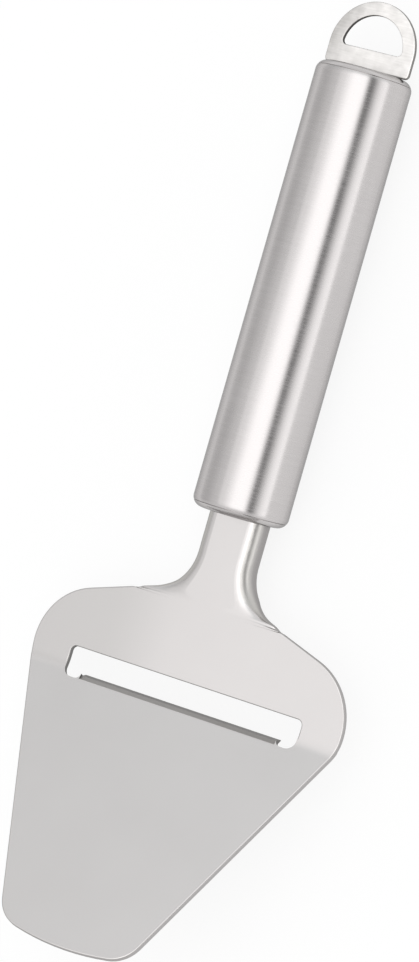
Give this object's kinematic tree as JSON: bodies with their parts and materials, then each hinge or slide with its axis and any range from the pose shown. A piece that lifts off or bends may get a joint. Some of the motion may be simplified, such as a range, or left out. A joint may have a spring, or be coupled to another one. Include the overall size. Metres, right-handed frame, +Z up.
{
  "type": "cheese slicer",
  "caption": "All-steel cheese slicer: a slotted, bent plate on a flanged neck, a round brushed handle with rounded ends and a flat hanging loop.",
  "frame": {"origin": "bottom centre of the whole tool's box, straight below the handle's axis", "axes": "+Y along the handle's axis towards the hanging loop, +Z up out of the side that the slices slide over, +X across the blade"},
  "size_m": [0.081, 0.2188, 0.0371],
  "materials": {
    "blade_steel": "fine satin stainless steel sheet",
    "handle_steel": "stainless steel brushed round the tube",
    "cap_steel": "smooth stainless steel, nearly polished",
    "loop_steel": "brushed stainless steel plate",
    "weld_steel": "raw weld bead"
  },
  "bodies": {
    "root": {"blade": "blade_steel", "handle_tube": "handle_steel", "front_cap": "cap_steel", "rear_cap": "cap_steel", "hanging_loop": "loop_steel", "tang_welds": "weld_steel", "loop_welds": "weld_steel"}
  },
  "joints": []
}
